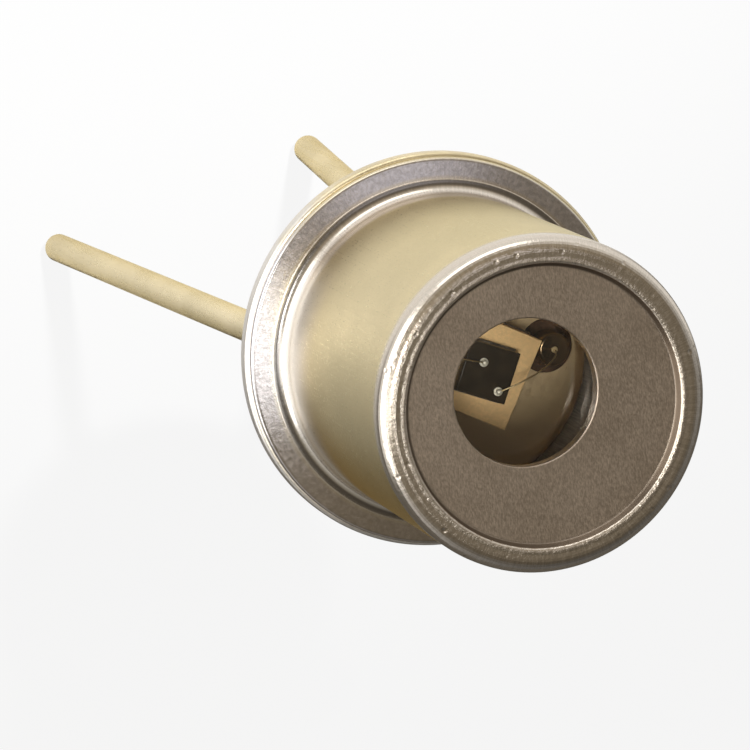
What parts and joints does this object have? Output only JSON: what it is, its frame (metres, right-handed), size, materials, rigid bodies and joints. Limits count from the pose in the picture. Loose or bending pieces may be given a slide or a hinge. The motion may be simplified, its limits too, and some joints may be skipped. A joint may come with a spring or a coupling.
{
  "type": "uv photodiode",
  "caption": "Small metal-can ultraviolet photodiode: flanged pale-gold can, recessed front face, off-centre glass window over the chip, and splayed wire leads.",
  "frame": {"origin": "centre of the header's underside, on the can's axis in the seating plane", "axes": "+Z along the can's axis from the leads to the window, +X towards the signal lead"},
  "size_m": [0.0059, 0.0059, 0.0193],
  "materials": {
    "header_gold": "gold-plated, satin",
    "can_metal": "pale gold-toned plating, satin on the barrel and finely grained on the face",
    "window_glass": "clear polished",
    "frit": "matt",
    "bead_glass": "dark fused",
    "lead_gold": "pale gold-plated, satin",
    "attach": "dull solder",
    "submount_gold": "gold-metallised ceramic, matt",
    "die": "dark polished semiconductor",
    "pad": "bright metal",
    "wire_gold": "bright gold"
  },
  "bodies": {
    "root": {"header": "header_gold", "cap": "can_metal", "window": "window_glass", "window_frit": "frit", "lead_bead": "bead_glass", "signal_lead": "lead_gold", "case_lead": "lead_gold", "submount_attach": "attach", "submount": "submount_gold", "die_attach": "attach", "die": "die", "signal_pad": "pad", "case_pad": "pad", "signal_wire": "wire_gold", "case_wire": "wire_gold"}
  },
  "joints": []
}
